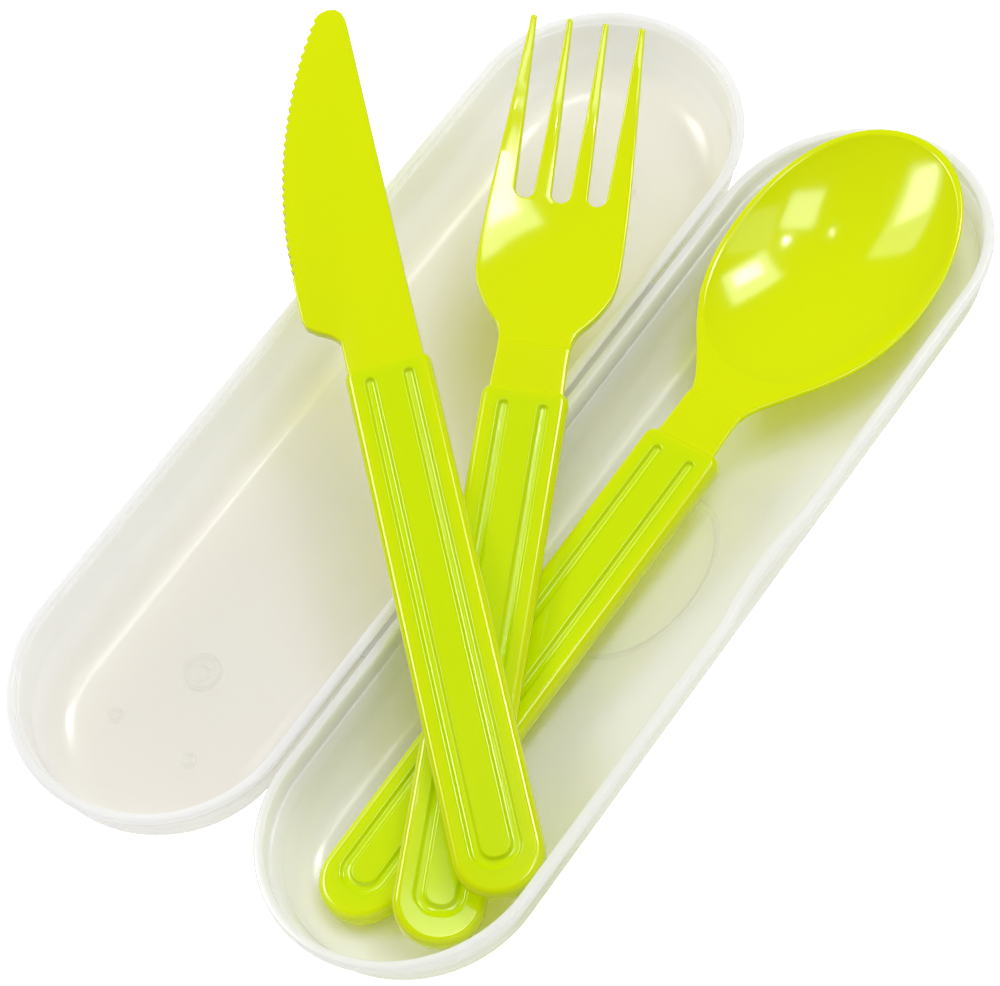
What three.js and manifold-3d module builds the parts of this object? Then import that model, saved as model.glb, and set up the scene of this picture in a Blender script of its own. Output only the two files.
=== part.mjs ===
// Reusable cutlery set: a knife, a fork and a spoon lying in an open clamshell case.
// Millimetres, +Z up. The origin is the centre of the tray's underside. The tray's long
// side lies along Y, and the hinge and the lid are on its -X side.
import * as THREE from 'three';
import { ParametricGeometry } from 'three/addons/geometries/ParametricGeometry.js';
import { mergeVertices } from 'three/addons/utils/BufferGeometryUtils.js';
import Module from 'manifold-3d';

const wasm = await Module();
wasm.setup();

// Case: both halves share one plan outline, a long pill with full round ends
const CASE_LENGTH = 203.5;
const CASE_WIDTH = 57.2;
const HINGE_GAP = 1.2;
const WALL = 1.2;
const FLOOR = 1.4;
const RIM_WIDTH = 2.4;
const RIM_CHAMFER = 0.3;
const END_STEPS = 24;
const CORNER_STEPS = 6;

// Tray
const TRAY_DEPTH = 16;
const TRAY_BAND = 2;
const TRAY_BAND_PROUD = 0.6;
const TRAY_DRAFT = 1.9;
const TRAY_CORNER = 9;
const LEDGE_DEPTH = 4;
const LEDGE_WIDTH = 0.5;

// Lid: its rim stands a little outside the tray's
const LID_MARGIN = 0.4;
const LID_DEPTH = 18.2;
const LID_BAND = 1.2;
const LID_BAND_PROUD = 0.4;
const LID_DRAFT = 1.6;
const LID_CORNER = 10;
const LID_LEDGE_DEPTH = 1.1;
const LID_LEDGE_WIDTH = 0.8;

// Thumb recess in the tray's free long side
const THUMB_LENGTH = 27;
const THUMB_DEPTH = 1.8;
const THUMB_OFFSET = 3.5;
const THUMB_STEPS = 96;

// Web of the hinge, between the two slots that its ends leave open
const WEB_LENGTH = 96.7;
const WEB_THICKNESS = 0.4;
const MOVING_GAP = 0.3;

// Handle, the same bar on all three pieces; s runs from the centre of its round end
const HANDLE_WIDTH = 16.9;
const HANDLE_LENGTH = 103.5;
const HANDLE_THICKNESS = 3.9;
const HANDLE_BEVEL = 1.3;
const SHOULDER_RADIUS = 2.4;
const GROOVE_WIDTH = 2.1;
const GROOVE_SPACING = 7.6;
const GROOVE_DEPTH = 0.7;
const GROOVE_TOP = 100;
const GROOVE_END = -2.2;
const ROOT_OVERLAP = 4;

// Knife: lengths run from the handle's shoulder
const BLADE_LENGTH = 82.5;
const BLADE_THICKNESS = 2.2;
const BLADE_BEVEL = 0.35;
const BLADE_STEP = 0.1;
const BLADE_WIDTH = 21.6;
const BLADE_SPINE = 7.4;
const BLADE_NOSE = 3.2;
const KNIFE_NECK = 15.3;
const KNIFE_NECK_LENGTH = 6;
const HEEL_LENGTH = 5.5;
const SMOOTH_EDGE = 11;
const EDGE_BELLY = 1.5;
const TOOTH_COUNT = 30;
const TOOTH_HEIGHT = 0.8;
const GULLET_PLACE = 0.35;

// Neck of the fork and the spoon: a step below the handle's top, then a rounded band
const NECK_STEP = 0.8;
const NECK_LENGTH = 10;
const NECK_BAND = 3.5;
const NECK_WAIST = 0.2;
const NECK_THICKNESS = 2.2;
const STEP_RUN = 3;

// Fork: the sinks are heights below the handle's top, and the palm is the uncut head
const FORK_NECK = 14.6;
const FORK_BAND_FLARE = 0.6;
const FORK_SHOULDER = 11;
const FORK_CHEEK = 0.8;
const FORK_PALM = 19;
const FORK_HEAD = 28.4;
const FORK_HEAD_TAPER = 0.4;
const FORK_WIDEST = 5;
const FORK_THROAT_SINK = 2.6;
const FORK_SINK = 4.6;
const FORK_DISH = 1.6;
const TINE_LENGTH = 38;
const TINE_PITCH = 7.25;
const TINE_GAP = 3.7;
const TINE_TIP_WIDTH = 1.3;
const TINE_TIP_RISE = 2.2;
const TINE_BULGE = 0.3;
const TINE_MIDDLE_SINK = 2.6;
const TINE_TAPER = 0.9;
const FORK_STATIONS = 30;
const FORK_ACROSS = 8;

// Spoon: the flare widens the neck on each side until the oval bowl takes over
const SPOON_NECK = 13.4;
const FLARE_START = 1.2;
const FLARE_MIDDLE = 4.6;
const FLARE_END = 8.8;
const FLARE_RUN = 10;
const BOWL_LENGTH = 63;
const BOWL_THROAT = 3.2;
const BOWL_WIDTH = 45;
const BOWL_DEPTH = 6.4;
const BOWL_SINK = 4;
const BOWL_TIP_SINK = 2.6;
const BOWL_THROAT_SINK = 3;
const BOWL_THROAT_RUN = 7;
const BOWL_WALL = 1.4;
const BOWL_SQUARENESS = 2.1;
const BOWL_FULLNESS = 0.8;
const BOWL_ROUNDING = 0.6;
const THROAT_STATIONS = 12;
const BOWL_STATIONS = 22;
const BOWL_ACROSS = 12;

// How each piece lies: its height is found by lowering it onto what it rests on
const REST_GAP = 0.3;
const DROP_HEIGHT = 60;
const DROP_STEPS = 11;
const SPANS_PER_POINT = 12;
const SAME_POINT = 1e-3;
const KNIFE_PLACE = { fromEnd: 32.7, fromSide: 10.6, heading: 136.5, pitch: 9.0, roll: 3 };
const FORK_PLACE = { fromEnd: 21.3, fromSide: 16.9, heading: 115.3, pitch: 7.2, roll: 15 };
const SPOON_PLACE = { fromEnd: 19.1, fromSide: 34.8, heading: 88, pitch: 4.3, roll: 2 };

const ROOT = HANDLE_LENGTH - ROOT_OVERLAP;
const NECK_END = HANDLE_LENGTH + NECK_LENGTH;
const BAND_END = NECK_END + NECK_BAND;
const END_RADIUS = CASE_WIDTH / 2;
const STRAIGHT_HALF = (CASE_LENGTH - CASE_WIDTH) / 2;
const HINGE_X = -(CASE_WIDTH + HINGE_GAP) / 2;
const FREE_SIDE_X = CASE_WIDTH / 2;

const milkyTray = new THREE.MeshStandardMaterial({ color: 0xe9ead8, roughness: 0.35, metalness: 0 });
const milkyLid = new THREE.MeshStandardMaterial({ color: 0xece8e4, roughness: 0.35, metalness: 0 });
const limePlastic = new THREE.MeshStandardMaterial({ color: 0xd9e600, roughness: 0.25, metalness: 0 });

// A closed geometry becomes a solid: shared corners are merged, flat triangles dropped
function solidOf(geometry) {
  const bare = geometry.clone();
  bare.deleteAttribute('normal');
  bare.deleteAttribute('uv');
  const merged = mergeVertices(bare, SAME_POINT);
  const triangles = [];
  const corner = merged.index.array;
  for (let i = 0; i < corner.length; i += 3) {
    const [a, b, c] = [corner[i], corner[i + 1], corner[i + 2]];
    if (a !== b && b !== c && c !== a) triangles.push(a, b, c);
  }
  const vertProperties = Float32Array.from(merged.attributes.position.array);
  const triVerts = Uint32Array.from(triangles);
  return new wasm.Manifold(new wasm.Mesh({ numProp: 3, vertProperties, triVerts }));
}

function geometryOf(solid) {
  const mesh = solid.getMesh();
  const geometry = new THREE.BufferGeometry();
  geometry.setAttribute('position', new THREE.BufferAttribute(Float32Array.from(mesh.vertProperties), 3));
  geometry.setIndex(new THREE.BufferAttribute(Uint32Array.from(mesh.triVerts), 1));
  return geometry;
}

function namedMesh(name, solid, material) {
  const geometry = geometryOf(solid);
  geometry.computeVertexNormals();
  const mesh = new THREE.Mesh(geometry, material);
  mesh.name = name;
  return mesh;
}

// Points of a quarter circle about (x, z), from one angle to the other in degrees
function arcPoints(x, z, radius, from, to) {
  const points = [];
  for (let i = 0; i <= CORNER_STEPS; i += 1) {
    const angle = THREE.MathUtils.degToRad(from + ((to - from) * i) / CORNER_STEPS);
    points.push(new THREE.Vector2(x + radius * Math.cos(angle), z + radius * Math.sin(angle)));
  }
  return points;
}

// A turned profile pulled apart along Y into a pill: the two half turns move outwards
function pill(profile) {
  const turns = 2 * END_STEPS;
  const flatToCorner = 1 / Math.cos(Math.PI / turns);
  const geometry = new THREE.LatheGeometry(profile, turns, Math.PI / turns, 2 * Math.PI);
  geometry.scale(flatToCorner, 1, flatToCorner);
  geometry.rotateX(Math.PI / 2);
  const position = geometry.attributes.position;
  for (let i = 0; i < position.count; i += 1) {
    const column = Math.floor(i / profile.length);
    const turn = Math.PI / turns + (column * 2 * Math.PI) / turns;
    const end = -Math.sign(Math.cos(turn));
    position.setY(i, position.getY(i) + end * STRAIGHT_HALF);
  }
  return solidOf(geometry);
}

// One half of the case, rim plane at z = 0 and floor below: outside first, then inside
function outerProfile({ radius, depth, band, proud, draft, corner }) {
  const wallFoot = radius - proud - draft;
  return [
    new THREE.Vector2(0, -depth),
    ...arcPoints(wallFoot - corner, corner - depth, corner, -90, 0),
    new THREE.Vector2(radius - proud, -band),
    new THREE.Vector2(radius, -band),
    new THREE.Vector2(radius, -RIM_CHAMFER),
    new THREE.Vector2(radius - RIM_CHAMFER, 0),
  ];
}

function innerProfile({ radius, depth, proud, draft, corner, ledgeDepth, ledgeWidth }) {
  const wallFoot = radius - proud - draft - WALL;
  const inside = corner - WALL;
  return [
    new THREE.Vector2(radius - RIM_WIDTH + ledgeWidth, 0),
    new THREE.Vector2(radius - RIM_WIDTH + ledgeWidth, -ledgeDepth),
    new THREE.Vector2(radius - RIM_WIDTH, -ledgeDepth),
    ...arcPoints(wallFoot - inside, FLOOR + inside - depth, inside, 0, -90),
    new THREE.Vector2(0, FLOOR - depth),
  ];
}

const tray = {
  radius: END_RADIUS,
  depth: TRAY_DEPTH,
  band: TRAY_BAND,
  proud: TRAY_BAND_PROUD,
  draft: TRAY_DRAFT,
  corner: TRAY_CORNER,
  ledgeDepth: LEDGE_DEPTH,
  ledgeWidth: LEDGE_WIDTH,
};
const lid = {
  radius: END_RADIUS + LID_MARGIN,
  depth: LID_DEPTH,
  band: LID_BAND,
  proud: LID_BAND_PROUD,
  draft: LID_DRAFT,
  corner: LID_CORNER,
  ledgeDepth: LID_LEDGE_DEPTH,
  ledgeWidth: LID_LEDGE_WIDTH,
};

// An upright round bar with its foot at z = 0
function uprightBar(x, y, radius, height) {
  const bar = new THREE.CylinderGeometry(radius, radius, height, THUMB_STEPS);
  bar.rotateX(Math.PI / 2);
  bar.translate(x, y, height / 2);
  return solidOf(bar);
}

function moved(solid, x, y, z) {
  const geometry = geometryOf(solid);
  geometry.translate(x, y, z);
  return solidOf(geometry);
}

// Tray: the wall is pressed inwards at the thumb recess and keeps its thickness there
function traySolid() {
  const full = moved(pill([...outerProfile(tray), new THREE.Vector2(0, 0)]), 0, 0, TRAY_DEPTH);
  const shell = moved(pill([...outerProfile(tray), ...innerProfile(tray)]), 0, 0, TRAY_DEPTH);
  const scoopRadius = THUMB_LENGTH ** 2 / (8 * THUMB_DEPTH) + THUMB_DEPTH / 2;
  const scoopX = FREE_SIDE_X - THUMB_DEPTH + scoopRadius;
  const backing = uprightBar(scoopX, THUMB_OFFSET, scoopRadius + WALL, TRAY_DEPTH);
  const scoop = uprightBar(scoopX, THUMB_OFFSET, scoopRadius, TRAY_DEPTH + FLOOR);
  return shell.add(backing.intersect(full)).subtract(scoop);
}

// The lid lies open and leans on the round corner of its own floor beside the hinge
function lidRestAngle() {
  const along = HINGE_GAP / 2 + LID_BAND_PROUD + LID_DRAFT + LID_CORNER;
  const down = LID_DEPTH - LID_CORNER;
  const drop = (LID_CORNER - TRAY_DEPTH) / Math.hypot(along, down);
  return Math.asin(drop) + Math.atan2(down, along);
}

function lidMesh() {
  const geometry = geometryOf(pill([...outerProfile(lid), ...innerProfile(lid)]));
  geometry.translate(HINGE_X - LID_MARGIN, 0, 0);
  geometry.rotateY(lidRestAngle());
  geometry.translate(HINGE_X, 0, TRAY_DEPTH);
  return namedMesh('case_lid', solidOf(geometry), milkyLid);
}

// Web: a thin strip in the plane of the rims, clear of both of them
function webSolid() {
  const strip = new THREE.BoxGeometry(HINGE_GAP - 2 * MOVING_GAP, WEB_LENGTH, WEB_THICKNESS);
  strip.translate(HINGE_X, 0, TRAY_DEPTH - WEB_THICKNESS / 2);
  return solidOf(strip);
}

// A flat outline as a bar, its top face at z = top, with rounded long edges
function bar(shape, top, thickness, bevel, curveSegments) {
  const geometry = new THREE.ExtrudeGeometry(shape, {
    depth: thickness - 2 * bevel,
    bevelThickness: bevel,
    bevelSize: bevel,
    bevelOffset: -bevel,
    bevelSegments: 2,
    bevelEnabled: bevel > 0,
    curveSegments,
  });
  geometry.translate(0, 0, top - thickness + bevel);
  return solidOf(geometry);
}

function handleShape() {
  const half = HANDLE_WIDTH / 2;
  const shape = new THREE.Shape();
  shape.absarc(0, 0, half, Math.PI / 2, (3 * Math.PI) / 2, false);
  shape.lineTo(HANDLE_LENGTH - SHOULDER_RADIUS, -half);
  shape.absarc(HANDLE_LENGTH - SHOULDER_RADIUS, SHOULDER_RADIUS - half, SHOULDER_RADIUS, -Math.PI / 2, 0, false);
  shape.absarc(HANDLE_LENGTH - SHOULDER_RADIUS, half - SHOULDER_RADIUS, SHOULDER_RADIUS, 0, Math.PI / 2, false);
  return shape;
}

// One groove goes down one side of the handle, round its end and back up the other
function grooveShape() {
  const centre = GROOVE_SPACING / 2;
  const outer = centre + GROOVE_WIDTH / 2;
  const inner = centre - GROOVE_WIDTH / 2;
  const turn = GROOVE_END + centre;
  const top = GROOVE_TOP - GROOVE_WIDTH / 2;
  const shape = new THREE.Shape();
  shape.absarc(turn, 0, outer, Math.PI / 2, (3 * Math.PI) / 2, false);
  shape.absarc(top, -centre, GROOVE_WIDTH / 2, -Math.PI / 2, Math.PI / 2, false);
  shape.absarc(turn, 0, inner, (3 * Math.PI) / 2, Math.PI / 2, true);
  shape.absarc(top, centre, GROOVE_WIDTH / 2, -Math.PI / 2, Math.PI / 2, false);
  return shape;
}

function handleSolid() {
  const blank = bar(handleShape(), 0, HANDLE_THICKNESS, HANDLE_BEVEL, 10);
  const cutter = bar(grooveShape(), GROOVE_DEPTH, 2 * GROOVE_DEPTH, 0, 8);
  return blank.subtract(cutter);
}

// Knife blade: a straight spine, a heel that steps out, a smooth stretch, then teeth
function bladeShape() {
  const neck = KNIFE_NECK / 2;
  const edge = BLADE_WIDTH - BLADE_SPINE;
  const tip = HANDLE_LENGTH + BLADE_LENGTH;
  const heel = HANDLE_LENGTH + KNIFE_NECK_LENGTH;
  const heelTop = heel + HEEL_LENGTH;
  const teeth = heelTop + SMOOTH_EDGE;
  const edgeCurve = new THREE.QuadraticBezierCurve(
    new THREE.Vector2(teeth, edge),
    new THREE.Vector2((teeth + tip) / 2 + BLADE_NOSE, edge - EDGE_BELLY),
    new THREE.Vector2(tip - BLADE_NOSE / 2, 2 * BLADE_NOSE - BLADE_SPINE),
  );
  const shape = new THREE.Shape();
  shape.moveTo(ROOT, -BLADE_SPINE);
  shape.lineTo(tip - 2 * BLADE_NOSE, -BLADE_SPINE);
  shape.quadraticCurveTo(tip, -BLADE_SPINE, tip, BLADE_NOSE - BLADE_SPINE);
  for (let i = TOOTH_COUNT; i >= 0; i -= 1) {
    const point = edgeCurve.getPoint(i / TOOTH_COUNT);
    shape.lineTo(point.x, point.y);
    if (i > 0) {
      const gullet = edgeCurve.getPoint((i - GULLET_PLACE) / TOOTH_COUNT);
      shape.lineTo(gullet.x, gullet.y - TOOTH_HEIGHT);
    }
  }
  shape.lineTo(heelTop, edge);
  shape.bezierCurveTo(heelTop - HEEL_LENGTH / 3, edge, heel + HEEL_LENGTH / 3, neck, heel, neck);
  shape.lineTo(ROOT, neck);
  return shape;
}

function knifeSolid() {
  const blade = bar(bladeShape(), -BLADE_STEP, BLADE_THICKNESS, BLADE_BEVEL, 6);
  return handleSolid().add(blade);
}

// A bent sheet of plastic: at each station along s it has a half width, a height of its
// middle, a rise towards its edges and a thickness, and it ends closed at both stations
function sheetSolid(stations, across, section) {
  const ring = 2 * across + 2;
  const sheet = (u, v, target) => {
    const row = Math.round(u * stations.length);
    const s = stations[Math.max(row - 1, 0)];
    const { half, middle, rise, thickness } = section(s);
    const step = Math.round(v * ring) % ring;
    const top = step <= across;
    const t = top ? (2 * step) / across - 1 : 1 - (2 * (step - across - 1)) / across;
    const side = row === 0 ? 0 : t;
    const height = middle + rise(side) - (top ? 0 : thickness);
    target.set(s, side * half, row === 0 ? middle - thickness / 2 : height);
  };
  return solidOf(new ParametricGeometry(sheet, stations.length, ring));
}

// Smooth value between named heights along s
function curveThrough(points) {
  const curve = new THREE.SplineCurve(points.map(([s, value]) => new THREE.Vector2(s, value)));
  const samples = curve.getPoints(points.length * SPANS_PER_POINT);
  return (s) => {
    const next = samples.findIndex((sample) => sample.x >= s);
    if (next <= 0) return next === 0 ? samples[0].y : samples[samples.length - 1].y;
    const [a, b] = [samples[next - 1], samples[next]];
    return a.y + ((b.y - a.y) * (s - a.x)) / (b.x - a.x);
  };
}

function stationsBetween(from, to, count, ease) {
  return Array.from({ length: count }, (_, i) => from + (to - from) * ease(i / (count - 1)));
}

// Fork: neck, dished head and four tines that curve up to their points
function forkSolid() {
  const neck = FORK_NECK / 2;
  const head = FORK_HEAD / 2;
  const palm = BAND_END + FORK_SHOULDER;
  const slotRoot = palm + FORK_PALM;
  const tip = slotRoot + TINE_LENGTH;
  const tipHalf = (3 * TINE_PITCH + TINE_TIP_WIDTH) / 2;
  const half = curveThrough([
    [ROOT, neck],
    [NECK_END, neck - NECK_WAIST],
    [BAND_END, neck + FORK_BAND_FLARE],
    [BAND_END + FORK_SHOULDER / 2, (neck + head) / 2 + FORK_CHEEK],
    [palm, head - FORK_HEAD_TAPER],
    [palm + FORK_WIDEST, head],
    [slotRoot, head - FORK_HEAD_TAPER],
    [slotRoot + TINE_LENGTH / 2, (head + tipHalf) / 2 + TINE_BULGE],
    [tip, tipHalf],
  ]);
  const middle = curveThrough([
    [ROOT, -NECK_STEP],
    [NECK_END - STEP_RUN / 2, -NECK_STEP],
    [NECK_END + STEP_RUN / 2, -2 * NECK_STEP],
    [BAND_END + FORK_SHOULDER / 2, -FORK_THROAT_SINK],
    [slotRoot - FORK_PALM / 2, -FORK_SINK],
    [slotRoot, -FORK_SINK],
    [slotRoot + TINE_LENGTH / 2, -TINE_MIDDLE_SINK],
    [tip, TINE_TIP_RISE],
  ]);
  const dish = curveThrough([
    [ROOT, 0],
    [NECK_END, 0],
    [palm, FORK_DISH / 2],
    [slotRoot - FORK_PALM / 2, FORK_DISH],
    [slotRoot, FORK_DISH],
    [slotRoot + TINE_LENGTH / 2, FORK_DISH / 2],
    [tip, 0],
  ]);
  const pointed = tip + TINE_TIP_WIDTH / 3;
  const stations = [...stationsBetween(ROOT, tip, FORK_STATIONS, (t) => t), pointed];
  const taper = (s) => TINE_TAPER * Math.max(0, (s - slotRoot) / TINE_LENGTH);
  let fork = sheetSolid(stations, FORK_ACROSS, (s) => ({
    half: s === pointed ? tipHalf - TINE_TIP_WIDTH / 4 : half(s),
    middle: middle(Math.min(s, tip)),
    rise: (t) => dish(Math.min(s, tip)) * t * t,
    thickness: s === pointed ? 0 : NECK_THICKNESS - taper(s),
  }));
  for (const lane of [-1, 0, 1]) {
    fork = fork.subtract(tineGap(lane * TINE_PITCH, slotRoot));
  }
  return handleSolid().add(fork);
}

// A gap between two tines: round at its root and wider towards the points
function tineGap(centre, slotRoot) {
  const root = TINE_GAP / 2;
  const mouth = (TINE_PITCH - TINE_TIP_WIDTH) / 2;
  const tip = slotRoot + TINE_LENGTH;
  const shape = new THREE.Shape();
  shape.absarc(slotRoot + root, centre, root, Math.PI / 2, (3 * Math.PI) / 2, false);
  shape.lineTo(tip, centre - mouth);
  shape.lineTo(tip + TINE_GAP, centre - mouth);
  shape.lineTo(tip + TINE_GAP, centre + mouth);
  shape.lineTo(tip, centre + mouth);
  const through = FORK_SINK + FORK_DISH + TINE_TIP_RISE + NECK_THICKNESS;
  return bar(shape, through, 2 * through, 0, 8);
}

// Spoon: neck and an oval bowl whose rim hangs a little below the handle's top
function spoonSolid() {
  const neck = SPOON_NECK / 2;
  const tip = BAND_END + BOWL_THROAT + BOWL_LENGTH;
  const centre = tip - BOWL_LENGTH / 2;
  const throat = BAND_END + BOWL_THROAT_RUN;
  const along = (s) => Math.min(1, Math.abs(s - centre) / (BOWL_LENGTH / 2));
  const oval = (s) => (BOWL_WIDTH / 2) * Math.sqrt(1 - along(s) ** BOWL_SQUARENESS);
  const flare = curveThrough([
    [ROOT, neck],
    [NECK_END, neck - NECK_WAIST],
    [BAND_END, neck + FLARE_START],
    [BAND_END + FLARE_RUN / 2, neck + FLARE_MIDDLE],
    [BAND_END + FLARE_RUN, neck + FLARE_END],
  ]);
  const half = (s) => (s < BAND_END + FLARE_RUN ? Math.max(flare(s), oval(s)) : oval(s));
  const rim = curveThrough([
    [ROOT, -NECK_STEP],
    [NECK_END - STEP_RUN / 2, -NECK_STEP],
    [NECK_END + STEP_RUN / 2, -2 * NECK_STEP],
    [throat, -BOWL_THROAT_SINK],
    [centre, -BOWL_SINK],
    [tip, -BOWL_TIP_SINK],
  ]);
  const depth = (s) => BOWL_DEPTH * (1 - along(s) ** 2) ** BOWL_FULLNESS;
  const thinning = (s) => Math.min(1, Math.max(0, (s - NECK_END) / (2 * NECK_LENGTH)));
  const stations = [
    ...stationsBetween(ROOT, throat, THROAT_STATIONS, (t) => t),
    ...stationsBetween(throat, tip, BOWL_STATIONS, (t) => Math.sin((t * Math.PI) / 2)).slice(1),
  ];
  const spoon = sheetSolid(stations, BOWL_ACROSS, (s) => ({
    half: s === stations[stations.length - 1] ? 0 : half(s),
    middle: rim(s) - depth(s),
    rise: (t) => depth(s) * t ** 2 * (1 + BOWL_ROUNDING * (1 - t ** 2)),
    thickness: THREE.MathUtils.lerp(NECK_THICKNESS, BOWL_WALL, thinning(s)),
  }));
  return handleSolid().add(spoon);
}

// A piece in its place: the plan position is taken from the tray's near end and free side
function placed(solid, place, height) {
  const geometry = geometryOf(solid);
  const turn = new THREE.Euler(
    THREE.MathUtils.degToRad(place.roll),
    -THREE.MathUtils.degToRad(place.pitch),
    THREE.MathUtils.degToRad(place.heading),
    'ZYX',
  );
  geometry.applyMatrix4(new THREE.Matrix4().makeRotationFromEuler(turn));
  geometry.translate(FREE_SIDE_X - place.fromSide, place.fromEnd - CASE_LENGTH / 2, height);
  return solidOf(geometry);
}

// Lowered onto what lies below it, by halving the step that just touches
function settled(solid, place, below) {
  let clear = DROP_HEIGHT;
  let touching = FLOOR;
  for (let i = 0; i < DROP_STEPS; i += 1) {
    const middle = (clear + touching) / 2;
    const overlap = placed(solid, place, middle).intersect(below).volume();
    if (overlap > 0) touching = middle;
    else clear = middle;
  }
  return placed(solid, place, clear + REST_GAP);
}

const trayBody = traySolid();
const webBody = webSolid();
const spoonBody = settled(spoonSolid(), SPOON_PLACE, trayBody);
const forkBody = settled(forkSolid(), FORK_PLACE, trayBody.add(webBody).add(spoonBody));
const knifeBed = trayBody.add(webBody).add(spoonBody).add(forkBody);
const knifeBody = settled(knifeSolid(), KNIFE_PLACE, knifeBed);

const cutlerySet = new THREE.Group();
cutlerySet.add(namedMesh('case_base', trayBody, milkyTray));
cutlerySet.add(lidMesh());
cutlerySet.add(namedMesh('living_hinge', webBody, milkyLid));
cutlerySet.add(namedMesh('knife', knifeBody, limePlastic));
cutlerySet.add(namedMesh('fork', forkBody, limePlastic));
cutlerySet.add(namedMesh('spoon', spoonBody, limePlastic));

export default cutlerySet;
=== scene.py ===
"""Lunch cutlery set: a knife, a fork and a spoon of lime plastic in an open milky case."""

from math import asin, atan2, cos, hypot, pi, radians, sin

import bmesh
import bpy
from mathutils import Matrix, Vector


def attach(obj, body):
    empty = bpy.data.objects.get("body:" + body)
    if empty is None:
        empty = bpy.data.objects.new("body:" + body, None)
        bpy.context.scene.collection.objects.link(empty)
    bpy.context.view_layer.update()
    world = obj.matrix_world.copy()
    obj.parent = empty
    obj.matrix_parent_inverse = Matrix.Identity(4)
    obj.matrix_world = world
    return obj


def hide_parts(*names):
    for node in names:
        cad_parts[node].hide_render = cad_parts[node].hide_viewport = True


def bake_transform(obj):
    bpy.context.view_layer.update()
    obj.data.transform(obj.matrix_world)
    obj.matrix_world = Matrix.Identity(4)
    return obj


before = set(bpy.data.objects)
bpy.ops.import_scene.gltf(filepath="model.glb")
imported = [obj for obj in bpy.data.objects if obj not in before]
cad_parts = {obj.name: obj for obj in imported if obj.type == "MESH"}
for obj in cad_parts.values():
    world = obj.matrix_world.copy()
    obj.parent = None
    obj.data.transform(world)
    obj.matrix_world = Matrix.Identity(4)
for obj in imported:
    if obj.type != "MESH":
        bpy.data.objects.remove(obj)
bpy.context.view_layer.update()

# Studio: a white sweep under soft boxes behind, above and on the hinge side, and two small
# ceiling spots, as for a catalogue picture. The camera stands where the case's two
# outlines say that the picture was taken from.
MM = 0.001
CAMERA_AZIMUTH = -34.95
CAMERA_ELEVATION = 52.9
CAMERA_ROLL = -23.06
CAMERA_DISTANCE = 646.2 * MM
CAMERA_TARGET = Vector((-27.58, -7.02, 16.0)) * MM
FOCAL_PIXELS = 3401.7
IMAGE_WIDTH = 1000
SENSOR = 36.0
SHIFT = (0.003, 0.001)
NEAR_CLIP = 10 * MM


def linear(hex_colour, alpha=1.0):
    """An sRGB hex colour as the linear values that a shader takes."""
    channels = [int(hex_colour[i : i + 2], 16) / 255 for i in (1, 3, 5)]
    bent = [c / 12.92 if c <= 0.04045 else ((c + 0.055) / 1.055) ** 2.4 for c in channels]
    return (*bent, alpha)


def add_node(tree, kind, inputs=None, **settings):
    """One shader node with its settings, and its sockets set to values or linked to others."""
    node = tree.nodes.new(kind)
    for key, value in settings.items():
        setattr(node, key, value)
    for key, value in (inputs or {}).items():
        if isinstance(value, bpy.types.NodeSocket):
            tree.links.new(value, node.inputs[key])
        else:
            node.inputs[key].default_value = value
    return node


def new_material(name):
    """An empty node material and its tree."""
    material = bpy.data.materials.new(name)
    material.use_nodes = True
    material.node_tree.nodes.clear()
    return material, material.node_tree


def object_from(bm, name, smooth_angle=35):
    """The finished mesh as an object at the origin, smooth but for its sharp edges."""
    mesh = bpy.data.meshes.new(name)
    bm.to_mesh(mesh)
    bm.free()
    obj = bpy.data.objects.new(name, mesh)
    bpy.context.scene.collection.objects.link(obj)
    mesh.shade_smooth()
    mesh.set_sharp_from_angle(angle=radians(smooth_angle))
    return obj


toward = Vector((
    cos(radians(CAMERA_ELEVATION)) * cos(radians(CAMERA_AZIMUTH)),
    cos(radians(CAMERA_ELEVATION)) * sin(radians(CAMERA_AZIMUTH)),
    sin(radians(CAMERA_ELEVATION)),
))
level = Vector((0, 0, 1)).cross(toward).normalized()
upright = toward.cross(level)
roll = radians(CAMERA_ROLL)
right = level * cos(roll) + upright * sin(roll)
above = upright * cos(roll) - level * sin(roll)
camera_data = bpy.data.cameras.new("catalogue_camera")
camera_data.sensor_width = SENSOR
camera_data.lens = FOCAL_PIXELS * SENSOR / IMAGE_WIDTH
camera_data.clip_start = NEAR_CLIP
camera_data.shift_x, camera_data.shift_y = SHIFT
camera = bpy.data.objects.new("catalogue_camera", camera_data)
axes = Matrix((right, above, toward)).transposed().to_4x4()
camera.matrix_world = Matrix.Translation(CAMERA_TARGET + toward * CAMERA_DISTANCE) @ axes
bpy.context.scene.collection.objects.link(camera)
bpy.context.scene.camera = camera
bpy.context.scene.view_settings.view_transform = "Standard"

FLOOR_WHITE = "#f6f6f6"
FLOOR_GLOW = 0.6  # seen by the camera alone, so that the paper is white without more light
SWEEP_HALF = 3000 * MM
SWEEP_LEVEL = -0.1 * MM
sweep_mesh = bmesh.new()
bmesh.ops.create_grid(sweep_mesh, x_segments=1, y_segments=1, size=SWEEP_HALF)
bmesh.ops.translate(sweep_mesh, verts=sweep_mesh.verts[:], vec=(0, 0, SWEEP_LEVEL))
sweep = object_from(sweep_mesh, "white_sweep")
paper, tree = new_material("white_paper_sweep")
matt = add_node(tree, "ShaderNodeBsdfDiffuse", {"Color": linear(FLOOR_WHITE)})
glow = add_node(tree, "ShaderNodeEmission", {"Strength": FLOOR_GLOW})
lit = add_node(tree, "ShaderNodeAddShader", {0: matt.outputs[0], 1: glow.outputs[0]})
rays = add_node(tree, "ShaderNodeLightPath")
surface = add_node(tree, "ShaderNodeMixShader", {"Fac": rays.outputs["Is Camera Ray"], 1: matt.outputs[0],
                                                 2: lit.outputs[0]})
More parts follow.
